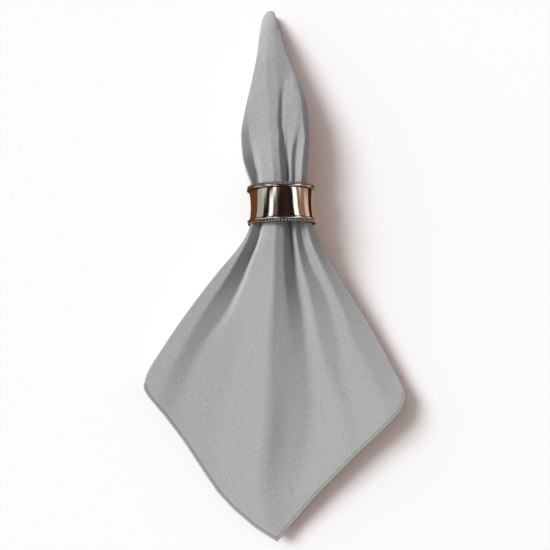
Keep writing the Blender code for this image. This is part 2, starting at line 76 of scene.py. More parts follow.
# Hem, rolled and stitched
HEM_WIDTH = 2.3 * MM
HEM_THICKNESS = 0.72 * MM
HEM_EDGE_THICKNESS = 0.3 * MM
HEM_ROUNDING = 0.7 * MM         # width over which the rolled edge reaches its full thickness
HEM_FADE = 0.6 * MM             # and over which it thins again towards the stitches
CLOTH_FADE = (0.4 * MM, 0.2 * MM)   # the plain cloth fades in from this far outside them to this far inside
STITCH_GROOVE = 0.26 * MM
STITCH_WIDTH = 0.35 * MM

GRAIN = 0.55 * MM               # width of the streaks that the threads leave
# Painted shade at the hem, on its turned edge and along the stitch groove, partly also the denser sewn hem:
# the share of the cloth's colour kept at a distance from the hem, in millimetres
HEM_TONES = ((0.0, 0.80), (0.5, 0.92), (1.4, 0.92), (1.7, 0.62), (2.0, 0.62), (2.3, 1.0))
HEM_TONES_REACH = 8.0           # in millimetres, further from the hem than any of its tones

# Gathers of the layers that the top one hides
HIDDEN_WAVES = 7.0              # across each layer
WAVE_SHARES = (0.0, 0.5, 1.0, 1.0, 1.0, 1.0, 0.5, 0.0)   # of the station's wave, from the lowest layer up

# Mesh density
TOP_COLUMNS_LEFT = 76
TOP_COLUMNS_RIGHT = 72
HIDDEN_COLUMNS = 57
BOTTOM_COLUMNS = 18
FOLD_ANGLES = (30.0, 60.0, 90.0, 120.0, 150.0)
WRAP_ANGLES = (20.0, 40.0, 60.0, 80.0, 100.0, 120.0, 140.0, 160.0)
TIP_ROWS = (173.6, 173.1, 172.4, 171.4, 170.2, 168.8, 167.2)
FLAME_ROWS = (165.4, 59.0, 58)  # from, to and how many
RING_ROWS = (56.0, 36.0, 7)
FAN_START = 34.0
FAN_ROWS = 92
HEM_ROWS = 11
HEM_ROWS_LENGTH = 5.0 * MM
HIDDEN_ROW_STEP = 4             # the hidden layers have every fourth row

# Ring
RING_CENTRE = (4.2 * MM, 44.2 * MM, 22.43 * MM)
RING_WAIST_BORE_RADIUS = 18.75 * MM
RING_WALL = 1.0 * MM
RING_RIM_RADIUS = 22.0 * MM
RING_LENGTH = 21.5 * MM
LIP_RADIUS = 0.85 * MM
FLARE_POWER = 2.4
FLARE_GAP = 0.3 * MM
BEAD_CIRCLE_RADIUS = 21.0 * MM
BEAD_PLACE = 11.55 * MM         # from the ring's middle, along its axis
BEADS = 64
BEAD_RADIUS = 0.8 * MM
BEAD_WIRE_RADIUS = 0.45 * MM
RING_TURN = (math.radians(-2.6), 0.0, math.radians(1.3))
RING_STEPS = 144
FLARE_STEPS = 14
LIP_STEPS = 12
LIP_HALF_TURN = 130.0           # degrees that a lip rolls to each side of its end
BEAD_WIRE_STEPS = 120
BEAD_WIRE_SIDES = 8
BEAD_SHADE_TO_BRIGHT = (0.4, 0.8)      # from painted shade to plain bright silver, in bead radii outside the circle of the beads
BEAD_SEGMENTS = 12
BEAD_RINGS = 8
WELD_DISTANCE = 0.01 * MM

# Camera straight above, as in the picture
CAMERA_HEIGHT = 480.0 * MM
CAMERA_HALF_VIEW = 184.25 * MM  # half the width seen on the table
SENSOR = 36.0

# Light: a soft key from the upper left, a much softer one round it and an even fill.
# Angles in degrees; the bearing is from +X towards +Y.
LIGHT_BEARING = 149.0
LIGHTS = [dict(zip(("name", "strength", "angle", "elevation"), row)) for row in (
    ("key", 3.1, 25.0, 43.0),
    ("soft_key", 1.25, 75.0, 33.0),
)]
LIGHT_COLOUR = (1.0, 0.985, 0.97)
FILL_STRENGTH = 0.3
FILL_COLOUR = (1.0, 0.97, 0.95, 1.0)

FLOOR_SIZE = 12.0

# Surroundings mirrored in the ring, painted: a glowing open cylinder round it, seen only in reflections, in
# strips along the napkin. Each strip starts at an angle from straight above, in degrees towards +X,
# and they spread by the share ROOM_SPREAD for each metre along Y. The ring's north
# half, which leans south, mirrors the south part of the room.
ROOM_RADIUS = 0.6
ROOM_LENGTH = 3.0
ROOM_SIDES = 96
ROOM_GLOW = 1.35
STRIP_SOFTNESS = 1.2            # degrees over which a strip fades at each side
ROOM_SPREAD = 0.6
ROOM_BLEND = 0.12               # the two parts of the room meet over this much to each side
ROOM_COLOURS = {
    "wood": "#5A3924", "shade": "#2E1B11", "wall": "#9A9490", "grey": "#55504D", "dark": "#1C1817",
    "brown": "#2E1A15", "tan": "#5A5042", "pale": "#BDB8B2", "window": "#FFFBF4", "rose": "#C2A899",
    "oak": "#7A5F4B", "beam": "#90806F",
}
SOUTH_ROOM = (
    (-180, "wood"), (-95, "wall"), (-74, "pale"), (-55, "dark"), (-31, "window"), (-19, "grey"),
    (-8, "brown"), (14, "dark"), (40, "window"), (55, "tan"), (64, "pale"), (74, "oak"),
    (90, "tan"), (112, "shade"), (138, "beam"),
)
NORTH_ROOM = (
    (-180, "wood"), (-95, "wall"), (-64, "dark"), (-42, "window"), (-29, "grey"), (-14, "dark"),
    (4, "brown"), (24, "dark"), (40, "window"), (55, "oak"), (86, "rose"), (108, "shade"),
    (136, "beam"),
)

# One row for each station along the napkin, in millimetres.
# left, right: the cloth's outline. crown, edge: height of the top layer at its
# middle and at its sides. rise: how much higher the left side is. base: height of
# the lowest layer. lift: how far its sides rise. room: space kept for the folds of
# the top layer. bulge: how far the left side turns out past the ends of the
# layers. round: 1 where the section is round. wave: height of the gathers in the
# hidden layers. soft: how far the folds of the top layer are rounded.
STATION_NAMES = (
    "y", "left", "right", "crown", "edge", "rise", "base", "lift", "room", "bulge", "round", "wave", "soft",
)
STATIONS = [dict(zip(STATION_NAMES, row)) for row in (
    (173.0, -5.6, -0.3, 8.0, 6.0, 0.0, 2.6, 1.0, 0.0, 0.4, 1.0, 0.0, 0.8),
    (170.3, -7.5, 0.7, 11.4, 9.0, 0.0, 1.4, 1.2, 0.0, 0.5, 1.0, 0.0, 0.8),
    (166.0, -8.9, 2.4, 15.6, 13.4, 0.0, 0.8, 1.0, 0.0, 0.6, 1.0, 0.0, 0.8),
    (157.0, -10.1, 4.8, 21.6, 18.6, 0.6, 0.5, 0.4, 0.0, 0.6, 1.0, 0.0, 0.8),
    (140.0, -12.0, 9.2, 28.4, 24.0, 0.8, 0.5, 0.6, 0.9, 0.6, 0.9, 1.6, 0.8),
    (123.0, -15.1, 16.2, 31.4, 25.6, 1.4, 0.5, 1.2, 3.0, 0.5, 0.8, 2.4, 0.7),
    (103.0, -19.5, 21.4, 33.8, 28.4, 0.4, 0.5, 2.2, 5.6, 0.5, 0.6, 2.8, 0.7),
    (88.0, -21.7, 21.8, 35.8, 30.0, 2.0, 0.6, 3.8, 7.6, 0.5, 0.7, 3.0, 0.6),
    (73.0, -20.5, 21.2, 38.4, 31.0, 2.0, 1.6, 6.5, 10.5, 0.5, 0.9, 3.4, 0.5),
    (64.0, -17.8, 20.9, 39.4, 31.4, 0.6, 3.2, 8.0, 11.5, 0.5, 1.0, 3.4, 0.4),
    (57.0, -15.3, 20.4, 39.9, 31.4, 0.2, 4.6, 8.4, 11.0, 0.5, 1.0, 3.4, 0.4),
    (44.7, -13.6, 22.0, 39.8, 30.6, 0.0, 5.0, 8.8, 10.0, 0.5, 1.0, 3.4, 0.4),
    (35.0, -14.4, 22.8, 40.0, 30.8, 0.0, 5.6, 8.6, 10.5, 0.5, 1.0, 3.4, 0.4),
    (31.5, -15.6, 24.0, 40.2, 30.6, 1.2, 5.4, 8.6, 11.5, 0.5, 1.0, 3.4, 0.4),
    (25.0, -18.4, 27.0, 39.0, 28.6, 2.0, 3.4, 7.0, 12.0, 0.5, 0.8, 3.4, 0.4),
    (18.0, -22.9, 30.8, 37.2, 25.4, 3.6, 1.6, 4.4, 12.0, 0.5, 0.6, 3.4, 0.5),
    (2.0, -36.6, 40.0, 33.4, 21.0, 4.2, 0.5, 1.4, 11.4, 0.5, 0.2, 3.2, 0.7),
    (-14.0, -49.4, 50.1, 30.2, 17.4, 5.0, 0.5, 0.2, 11.0, 0.6, 0.0, 2.6, 0.9),
    (-30.0, -61.6, 60.2, 27.6, 15.0, 4.2, 0.5, 0.0, 10.4, 0.8, 0.0, 2.0, 1.4),
    (-50.0, -75.3, 71.6, 25.6, 13.6, 1.2, 0.5, 0.0, 10.0, 0.8, 0.0, 1.2, 2.0),
    (-63.0, -83.4, 78.6, 24.6, 13.6, -1.0, 0.5, 0.0, 9.6, 0.8, 0.0, 0.8, 2.4),
    (-76.0, -88.3, 85.2, 23.5, 15.4, -4.6, 0.5, 0.0, 9.4, 0.8, 0.0, 0.5, 2.8),
    (-95.0, -101.0, 97.0, 22.0, 19.0, -10.4, 0.0, 0.0, 9.0, 0.8, 0.0, 0.0, 3.2),
    (-115.0, -115.0, 110.0, 19.6, 18.6, -10.6, -0.6, 0.0, 7.4, 0.8, 0.0, 0.0, 3.6),
    (-142.0, -132.0, 128.0, 15.4, 14.6, -6.6, -0.6, 0.0, 4.0, 0.8, 0.0, 0.0, 3.6),
    (-178.0, -156.0, 152.0, 10.5, 10.0, -2.0, -0.6, 0.0, 0.8, 0.8, 0.0, 0.0, 3.6),
)]

# Where the hem of the visible corner runs, from the left fold to the right one.
HEM = [dict(zip(("x", "y"), row)) for row in (
    (-86.0, -69.5), (-85.7, -75.0), (-83.0, -79.6), (-72.4, -92.4), (-59.8, -109.6), (-47.6, -127.9),
    (-37.8, -142.4), (-27.7, -153.2), (-13.4, -165.4), (1.6, -174.3), (28.8, -141.0), (50.8, -117.6),
    (79.6, -88.9), (82.9, -84.0), (84.4, -79.4), (84.8, -76.0),
)]
CORNER = {"x": 1.6 * MM, "y": -174.3 * MM}
HEM_LEFT_Y = -69.5 * MM
HEM_RIGHT_Y = -76.0 * MM
HEM_SEARCH_TOP = -60.0 * MM
HEM_SEARCH_STEPS = 40

# How far each layer's hem and right fold stay inside those of the top layer.
LAYER_INSETS = [dict(zip(("hem", "side"), row)) for row in (
    (0.0, 0.0), (0.0, 0.0), (1.6, 1.0), (1.6, 1.0), (2.4, 0.4), (2.4, 0.4), (3.2, 1.4), (3.2, 1.4),
)]

# Lines along the folds of the top layer, from left to right. Each point of a line has
# its place along the napkin, where the line runs there and how high, in millimetres.
# Between two lines the cloth is nearly flat.
LINE_NAMES = ("y", "x", "z")
FAN = {name: [dict(zip(LINE_NAMES, point)) for point in points] for name, points in {
    "left roll": (
        (36, -12, 31.5), (24, -16.5, 31), (8, -25, 27.5), (-7, -34.5, 24.5), (-23, -45.5, 22),
        (-44, -58, 18.5), (-67, -69.5, 14.5), (-91, -77, 10.5), (-115, -86, 8.5), (-165, -92, 8)),
    "left valley": (
        (36, -7.5, 28), (24, -10, 25), (8, -16.5, 20), (-7, -22.5, 17.5), (-23, -30.5, 16.5),
        (-44, -45.5, 15), (-67, -57, 12.5), (-91, -66, 10.5), (-115, -76, 8), (-165, -70, 8)),
    "its wall": (
        (36, -6.5, 36.5), (24, -8.5, 35), (8, -14.5, 29.5), (-7, -20, 24), (-23, -26.5, 20.5),
        (-44, -38, 17), (-67, -50, 14), (-91, -57, 11.5), (-115, -62, 8.5), (-165, -50, 8)),
    "crease": (
        (36, -4, 38), (24, -5, 37), (8, -10, 31.5), (-7, -13, 27), (-23, -17, 23.5), (-44, -21.5, 20.5),
        (-67, -29.5, 17.5), (-91, -34, 15), (-115, -38, 12), (-142, -35, 10), (-165, -20, 9.5)),
    "main crest": (
        (36, 0.5, 39.5), (24, 0, 38.5), (8, -0.5, 35), (-7, -1, 32), (-23, -2, 29), (-44, -3.5, 26.5),
        (-67, -4, 24.5), (-91, -4.5, 22.5), (-115, -6.5, 20), (-142, -8, 15.5), (-165, -2, 12)),
    "flank": (
        (36, 4.5, 37), (24, 5.5, 35.5), (8, 5.5, 32), (-7, 6.5, 28.5), (-23, 8, 25), (-44, 9, 22),
        (-67, 7, 20.5), (-91, 6.5, 18), (-115, 5.5, 15.5), (-142, 3, 14), (-165, 2, 11.5)),
    "middle valley": (
        (36, 9, 28.5), (24, 10.5, 25), (8, 12, 22), (-7, 14, 19.5), (-23, 18, 17.5), (-44, 20.5, 16.5),
        (-67, 22.5, 15.5), (-91, 24, 14), (-115, 21, 13), (-142, 12, 13.5), (-165, 6, 11)),
    "second crest": (
        (36, 12, 37), (24, 13, 34), (8, 16, 28.5), (-7, 20.5, 25.5), (-23, 24, 22.5), (-44, 28.5, 20.5),
        (-67, 36, 19.5), (-91, 44.5, 19.5), (-115, 47, 18.5), (-142, 26, 15), (-165, 14, 11.5)),
    "right valley": (
        (36, 14.5, 33), (24, 16.5, 29), (8, 22, 23.5), (-7, 30, 20), (-23, 36, 18), (-44, 41, 17),
        (-67, 43.5, 17.5), (-91, 50.5, 19), (-115, 52, 18.5), (-165, 40, 11.5)),
    "right crest": (
        (36, 18.5, 36.5), (24, 21.5, 34), (8, 28.5, 28), (-7, 36, 24), (-23, 43.5, 21), (-44, 51, 19.5),
        (-67, 63, 20), (-91, 71.5, 21.5), (-115, 66, 19.5), (-165, 60, 12)),
}.items()}
FLAME = {name: [dict(zip(LINE_NAMES, point)) for point in points] for name, points in {
    "hollow": (
        (157, -7.5, 20), (140, -9, 26), (126, -11, 28), (118, -12.5, 29), (110, -14, 29.5), (94, -16.5, 30),
        (86, -16, 29.5), (78, -14, 28.5), (71, -13, 27), (63, -11, 25), (50, -10, 26)),
    "its wall": (
        (157, -6, 20.5), (140, -7, 27), (126, -9, 29), (118, -10, 30), (110, -11, 30.5), (94, -12.5, 31.5),
        (86, -12, 32), (78, -10.5, 33.5), (71, -9.5, 35), (63, -8.5, 36), (50, -7, 36.5)),
    "main crest": (
        (157, -4.5, 21.5), (140, -5, 28), (126, -5.5, 30.5), (118, -5, 32), (110, -4, 33), (94, -3.5, 35),
        (86, -2.5, 36), (78, -2, 37.5), (71, -1.5, 38.5), (63, -1, 39.5), (50, -1, 39.5)),
    "flank": (
        (157, -1, 21.5), (140, 0, 28), (126, 1, 30), (118, 2, 31.5), (110, 2, 32.5), (94, 1.5, 34.5),
        (86, 2.5, 35.5), (78, 2.5, 36.5), (71, 3, 37), (63, 3.5, 37.5), (50, 5, 37.5)),
    "main valley": (
        (157, 0, 21), (140, 3, 27), (126, 5, 28.5), (118, 5.5, 29.5), (110, 4.5, 29.5), (94, 4, 30),
        (86, 5, 30), (78, 4.5, 31), (71, 5.5, 31.5), (63, 6.5, 32), (50, 6.5, 33)),
    "ledge": (
        (157, 1, 20.5), (140, 4, 26.5), (126, 6.5, 28), (118, 7, 30), (110, 6, 31), (94, 5.5, 32),
        (86, 6.5, 32), (78, 5.5, 31.5), (71, 7, 30), (63, 7.5, 29.5), (50, 7.5, 31)),
    "slit": (
        (157, 1.5, 20.5), (140, 5, 26), (126, 8, 27.5), (118, 8.5, 30.5), (110, 8, 31.5), (94, 7, 32.5),
        (86, 8, 32), (78, 7, 29.5), (71, 8, 28), (63, 8.5, 27), (50, 8.5, 29.5)),
    "slit wall": (
        (157, 2, 20), (140, 5.5, 26), (126, 9.5, 27), (118, 10, 30.5), (110, 10, 32), (94, 9, 33),
        (86, 9.5, 33.5), (78, 9, 33), (71, 9, 33), (63, 9.5, 33.5), (50, 9.5, 35)),
    "puffed crest": (
        (157, 3, 20), (140, 6.5, 25.5), (126, 11, 27), (118, 11.5, 31), (110, 14.5, 32.5), (94, 13, 34),
        (86, 12, 34.5), (78, 10.5, 34.5), (71, 10, 34.5), (63, 10, 34.5), (50, 10, 36)),
    "pleat": (
        (157, 3.5, 19.5), (140, 7.5, 25), (126, 12, 26.5), (118, 14, 29), (110, 16, 32), (94, 16, 33.5),
        (86, 14.5, 33), (78, 13, 31.5), (71, 12.5, 31), (63, 12, 31), (50, 12, 31)),
    "last crest": (
        (157, 4, 19.5), (140, 8, 24.5), (126, 13, 26.5), (118, 15, 28.5), (110, 17, 31), (94, 18, 33.5),
        (86, 19, 34.5), (78, 18, 35), (71, 17, 35.5), (63, 16.5, 35), (50, 15.5, 34.5)),
}.items()}
FLAME_FROM = 50.0               # the flame's lines hold north of here
FAN_TO = 38.0                   # and the fan's lines south of here
LEAST_GAP = 0.9 * MM            # between the middles of the top layer and of the one below it
LEAST_LINE_STEP = 0.1 * MM      # two fold lines are never closer than this
SOFT_SAMPLES = (-1.0, -0.6, -0.2, 0.2, 0.6, 1.0)
LEFT_RISE_POWER = 3.0           # how quickly the left side's extra height fades towards the middle


# Curves through the tables

def smooth_column(rows, column, at):
    """A smooth curve through one column of a table, read at the values of y in millimetres."""
    order = sorted(rows, key=lambda row: row["y"])
    places = np.array([row["y"] for row in order])
    values = np.array([row[column] for row in order])
    slopes = even_slopes(values, places)
    at = np.clip(np.asarray(at, dtype=float), places[0], places[-1])
    cell = np.clip(np.searchsorted(places, at) - 1, 0, len(places) - 2)
    span = places[cell + 1] - places[cell]
    t = (at - places[cell]) / span
    start = values[cell] * (1 + 2 * t) * (1 - t) ** 2 + slopes[cell] * span * t * (1 - t) ** 2
    end = values[cell + 1] * t * t * (3 - 2 * t) - slopes[cell + 1] * span * t * t * (1 - t)
    return start + end


def even_slopes(values, places):
    """Slopes at the rows of a table that let the curve between them rise and fall only where they do."""
    steps = np.diff(values) / np.diff(places)
    slopes = np.concatenate([steps[:1], np.zeros(len(steps) - 1), steps[-1:]])
    before, after = steps[:-1], steps[1:]
    same_way = before * after > 0
    total = np.where(same_way, before + after, 1.0)
    slopes[1:-1] = np.where(same_way, 2 * before * after / total, 0.0)
    return slopes


def smooth_step(value, low, high):
    """0 at low, 1 at high, with no corner at either."""
    t = np.clip((value - low) / (high - low), 0.0, 1.0)
    return t * t * (3 - 2 * t)


def station(y):
    """All columns of the station table at the places y along the napkin, in metres."""
    values = {name: smooth_column(STATIONS, name, y / MM) for name in STATION_NAMES[1:]}
    return {name: values[name] if name == "round" else values[name] * MM for name in values}


# Shape of the cloth

def fold_surface(lines, x, y, ends, here):
    """Height of the top layer over its fold lines, between its two ends."""
    knots = [(ends[0], here["edge"] + here["rise"])]
    for line in lines.values():
        line_x = smooth_column(line, "x", y / MM) * MM
        line_z = smooth_column(line, "z", y / MM) * MM
        knots.append((line_x, line_z))
    knots.append((ends[1], here["edge"]))
    total = np.zeros_like(x)
    for sample in SOFT_SAMPLES:
        place = x + sample * here["soft"]
        surface = knots[0][1] * np.ones_like(x)
        for (x_0, z_0), (x_1, z_1) in zip(knots[:-1], knots[1:]):
            share = (place - x_0) / np.maximum(x_1 - x_0, LEAST_LINE_STEP)
            surface = surface + (z_1 - z_0) * np.clip(share, 0.0, 1.0)
        total += surface
    return total / len(SOFT_SAMPLES)


def folded_top(x, y, ends, here):
    """Height of the top layer: fold lines of the fan, of the flame, or in the ring a mix of both."""
    share = smooth_step(y / MM, FAN_TO, FLAME_FROM)
    fan = fold_surface(FAN, x, y, ends, here)
    flame = fold_surface(FLAME, x, y, ends, here)
    return fan * (1 - share) + flame * share


def side_profile(index):
    """How far a side stands out at a layer's height: 0 at the top and bottom layers, 1 half way."""
    across = 2 * index / TOP_INDEX - 1
    return np.clip(1 - across ** 2, 0.0, 1.0) ** SIDE_POWER


def height(x, y, index, here):
    """Height of the layer with that index (0 lowest, 7 top) over a point of the table."""
    left = here["left"] + CLOTH_THICKNESS / 2 + here["bulge"]
    right = here["right"] - CLOTH_THICKNESS / 2 - here["bulge"]
    across = np.clip((2 * x - left - right) / (right - left), -1.0, 1.0)
    edge_rise = math.sqrt(1 - FOLD_CENTRE_SHARE ** 2)
    round_crown = (np.sqrt(1 - (FOLD_CENTRE_SHARE * across) ** 2) - edge_rise) / (1 - edge_rise)
    soft_crown = (1 - across ** 2) ** SOFT_CROWN_POWER
    crown = here["round"] * round_crown + (1 - here["round"]) * soft_crown
    top = here["edge"] + (here["crown"] - here["edge"]) * crown
    top = top + here["rise"] * ((1 - across) / 2) ** LEFT_RISE_POWER
    bottom = here["base"] + here["lift"] * (1 - round_crown)
    inside = 1 - across ** 4
    pitch = (top - here["room"] * inside - bottom) / TOP_INDEX
    gathers = np.sin(math.pi * HIDDEN_WAVES * across) * here["wave"] * inside
    gathers = gathers * np.interp(index, range(LAYERS), WAVE_SHARES)
    lower = bottom + np.minimum(index, TOP_INDEX - 1) * pitch + gathers
    over = np.clip(index - (TOP_INDEX - 1), 0.0, 1.0)
    ends = layer_ends(0, y, here)
    full = np.maximum(folded_top(x, y, ends, here), lower + LEAST_GAP)
    return np.maximum(lower + over * (full - lower), CLOTH_THICKNESS / 2)


def layer_ends(layer, y, here):
    """Left and right end of one layer, where its turns begin."""
    index = TOP_INDEX - layer
    inset = LAYER_INSETS[layer]["side"] * MM * smooth_step(-y, -INSETS_START, -INSETS_FULL)
    left_side = here["left"] + CLOTH_THICKNESS / 2
    right_side = here["right"] - CLOTH_THICKNESS / 2
    turn = turn_radius(here)
    if layer in (0, LAYERS - 1):
        left = left_side + here["bulge"]
    else:
        pair = 2 * ((index + 1) // 2) - 0.5
        left = left_side + INNER_FOLD_GAP + here["bulge"] * (1 - side_profile(pair)) + turn
    pair = 2 * (index // 2) + 0.5
    bulge = here["bulge"] * RIGHT_BULGE_SHARE * here["round"]
    right = right_side - bulge * (1 - side_profile(pair)) - inset - turn
    return left, right


def turn_radius(here):
    """Half the distance between the layers at their ends."""
    thick = here["edge"] - here["base"] - here["lift"]
    return np.maximum(thick / TOP_INDEX / 2, SMALLEST_TURN)


def columns():
    """The columns of the sheet in the order in which they go round it once.

    Each is (kind, layer, place): a share of a layer's width, or an angle in a turn.
    """
    result = []
    for layer in range(LAYERS):
        if layer == 0:
            places = top_places()
        else:
            steps = BOTTOM_COLUMNS if layer == LAYERS - 1 else HIDDEN_COLUMNS
            places = [i / (steps - 1) for i in range(steps)]
        result += [("layer", layer, place) for place in places]
        if layer < LAYERS - 1:
            result += [("turn", layer, math.radians(angle)) for angle in FOLD_ANGLES]
    result += [("wrap", LAYERS - 1, math.radians(angle)) for angle in WRAP_ANGLES]
    return result


def top_places():
    """Places across the top layer, with one that ends in the corner of the cloth."""
    here = station(np.array([CORNER["y"]]))
    left, right = layer_ends(0, np.array([CORNER["y"]]), here)
    corner = float((CORNER["x"] - left[0]) / (right[0] - left[0]))
    first = [corner * i / TOP_COLUMNS_LEFT for i in range(TOP_COLUMNS_LEFT)]
    second = [corner + (1 - corner) * i / TOP_COLUMNS_RIGHT for i in range(TOP_COLUMNS_RIGHT + 1)]
    return first + second


def column_points(column, y):
    """The sheet's middle surface along one column, at the stations y."""
    kind, layer, place = column
    here = station(y)
    left, right = layer_ends(layer, y, here)
    index = np.full_like(y, TOP_INDEX - layer)
    outward = np.zeros_like(y)
    if kind == "layer":
        share = place if layer % 2 == 0 else 1 - place
        x = left + share * (right - left)
    elif kind == "turn":
        way = 1 if layer % 2 == 0 else -1
        x = right if way > 0 else left
        outward = way * turn_radius(here) * math.sin(place)
        index += 0.5 * math.cos(place) - 0.5
    else:
        index = np.full_like(y, TOP_INDEX / 2 * (1 - math.cos(place)))
        x = left - here["bulge"] * side_profile(index)
    z = height(x + outward, y, index, here)
    return blend_to_tip(x, y, z, outward, oval_angle(kind, layer, place), here)


def blend_to_tip(x, y, z, outward, angle, here):
    """Near the tip the layers run out into one plain round section."""
    layered = np.clip((SLOTS_START - y) / SLOTS_LENGTH, 0.0, 1.0)
    turned = smooth_step(layered, 0.0, TURNS_OPEN_BY)
    tuck = turned * turn_radius(here)
    middle = (here["left"] + here["right"] - tuck) / 2
    half_width = (here["right"] - here["left"] - CLOTH_THICKNESS - tuck) / 2
    half_height = (here["crown"] - here["base"]) / 2
    oval_x = middle + half_width * math.cos(angle)
    power = OVAL_POWER + OVAL_POWER_TO_RIGHT * math.cos(angle)
    upward = math.copysign(abs(math.sin(angle)) ** power, math.sin(angle))
    oval_z = here["base"] + half_height * (1 + upward)
    return oval_x + layered * (x - oval_x) + turned * outward, y, oval_z + layered * (z - oval_z)


def oval_angle(kind, layer, place):
    """Where a column lies on the plain round section: over its top, down its right, back below."""
    if kind == "wrap":
        left_side = OVAL_TOP_END - 360.0 - OVAL_BOTTOM_END
        return math.radians(OVAL_BOTTOM_END + left_side * place / math.pi)
    if kind == "layer" and layer == 0:
        return math.radians(OVAL_TOP_END + (OVAL_SHOULDER - OVAL_TOP_END) * place)
    if kind == "layer" and layer == LAYERS - 1:
        return math.radians(-OVAL_SHOULDER + (OVAL_BOTTOM_END + OVAL_SHOULDER) * place)
    level = TOP_INDEX - layer
    if kind == "layer":
        level += OVAL_LAYER_SHARE * (1 - 2 * place)
    else:
        level += (0.5 - OVAL_LAYER_SHARE) * math.cos(place) - 0.5
    return math.asin(math.sin(math.radians(OVAL_SHOULDER)) * (2 * level / TOP_INDEX - 1))


def hem_y(column):
    """Where a column ends at the hem."""
    kind, layer, place = column
    inset = LAYER_INSETS[layer]["hem"] * MM
    share = place if layer % 2 == 0 else 1 - place
    if kind == "wrap":
        return HEM_LEFT_Y
    if kind == "turn":
        return (HEM_RIGHT_Y if layer % 2 == 0 else HEM_LEFT_Y) + inset
    if layer % 2 == 1:
        straight = HEM_LEFT_Y + share * (HEM_RIGHT_Y - HEM_LEFT_Y)
        return straight - WEB_SAG * math.sin(math.pi * share) + inset
    hem_x = [row["x"] for row in HEM]
    hem_line = [row["y"] for row in HEM]
    high, low = HEM_SEARCH_TOP, STATIONS[-1]["y"] * MM
    for _ in range(HEM_SEARCH_STEPS):
        y = np.array([(high + low) / 2])
        left, right = layer_ends(layer, y, station(y))
        x = float(left[0] + share * (right[0] - left[0]))
        wanted = np.interp(x / MM, hem_x, hem_line) * MM + inset
        if y[0] > wanted:
            high = y[0]
        else:
            low = y[0]
    return (high + low) / 2


def sheet_rows(end):
    """The stations of one column that ends at the hem in end."""
    upper = np.concatenate([TIP_ROWS, np.linspace(*FLAME_ROWS), np.linspace(*RING_ROWS)]) * MM
    first = FAN_START * MM
    last = end + HEM_ROWS_LENGTH
    fan = first + np.arange(FAN_ROWS) / (FAN_ROWS - 1) * (last - first)
    hem = last + np.arange(1, HEM_ROWS + 1) / HEM_ROWS * (end - last)
    return np.concatenate([upper, fan, hem])


def sheet_grid(all_columns):
    """Middle surface as rows of points from the tip to the hem, each row once round the sheet."""
    grid = []
    for column in all_columns:
        x, y, z = column_points(column, sheet_rows(hem_y(column)))
        grid.append(np.stack([x, y, z], axis=1))
    return np.stack(grid, axis=1)


def unit(vectors):
    """Vectors scaled to length one, with zeros left as they are."""
    lengths = np.linalg.norm(vectors, axis=-1, keepdims=True)
    return vectors / np.where(lengths > 0, lengths, 1.0)


def grid_normals(grid, tip):
    """Outward unit normals of the middle surface."""
    above = np.concatenate([np.broadcast_to(tip, grid[:1].shape), grid[:-1]])
    below = np.concatenate([grid[1:], grid[-1:]])
    before = np.roll(grid, 1, axis=1)
    after = np.roll(grid, -1, axis=1)
    normal = np.zeros_like(grid)
    for first, second in ((above, before), (before, below), (below, after), (after, above)):
        normal += unit(np.cross(first - grid, second - grid))
    return unit(normal)


def hem_distance(grid, all_columns):
    """Distance of each point from the hem of its own layer, seen from above."""
    result = np.full(grid.shape[:2], 1.0)
    for layer in range(LAYERS):
        own = [i for i, column in enumerate(all_columns) if column[1] == layer]
        line = grid[-1, own, :2]
        start, step = line[:-1], np.diff(line, axis=0)
        points = grid[:, own, None, :2]
        along = ((points - start) * step).sum(-1) / np.maximum((step ** 2).sum(-1), 1e-12)
        nearest = start + np.clip(along, 0, 1)[..., None] * step
        result[:, own] = np.linalg.norm(points - nearest, axis=-1).min(-1)
    return result


def half_thickness(distance):
    """Half the cloth's thickness at a distance from the hem: rolled edge, stitch groove, plain cloth."""
    rolled = smooth_step(distance, 0.0, HEM_ROUNDING)
    rolled = rolled * (1 - smooth_step(distance, HEM_WIDTH - HEM_FADE, HEM_WIDTH))
    hem = HEM_EDGE_THICKNESS + (HEM_THICKNESS - HEM_EDGE_THICKNESS) * rolled
    cloth = smooth_step(distance, HEM_WIDTH - CLOTH_FADE[0], HEM_WIDTH + CLOTH_FADE[1]) * CLOTH_THICKNESS
    thickness = np.where(distance < HEM_WIDTH, np.maximum(hem, cloth), CLOTH_THICKNESS)
    groove = STITCH_GROOVE * np.exp(-((distance - HEM_WIDTH) / STITCH_WIDTH) ** 2)
    return (thickness - groove) / 2


def flat_places(grid, tip, split):
    """Where each point lies on the flat cloth, columns counted from the split: lengths kept both ways."""
    around = np.concatenate([grid[:, split:], grid[:, :split + 1]], axis=1)
    whole = np.concatenate([np.broadcast_to(tip, around[:1].shape), around])
    along = np.cumsum(np.linalg.norm(np.diff(whole, axis=0), axis=-1), axis=0)
    forward = unit(np.diff(whole, axis=0))
    step = np.diff(around, axis=1)
    sideways = step - (step * forward[:, :-1]).sum(-1, keepdims=True) * forward[:, :-1]
    widths = np.cumsum(np.linalg.norm(sideways, axis=-1), axis=1)
    across = np.concatenate([np.zeros((len(grid), 1)), widths], axis=1)
    across -= across[:, (TOP_COLUMNS_LEFT - split) % grid.shape[1]][:, None]
    turn = across / along
    return np.stack([along * np.sin(turn), along * np.cos(turn)], axis=-1)


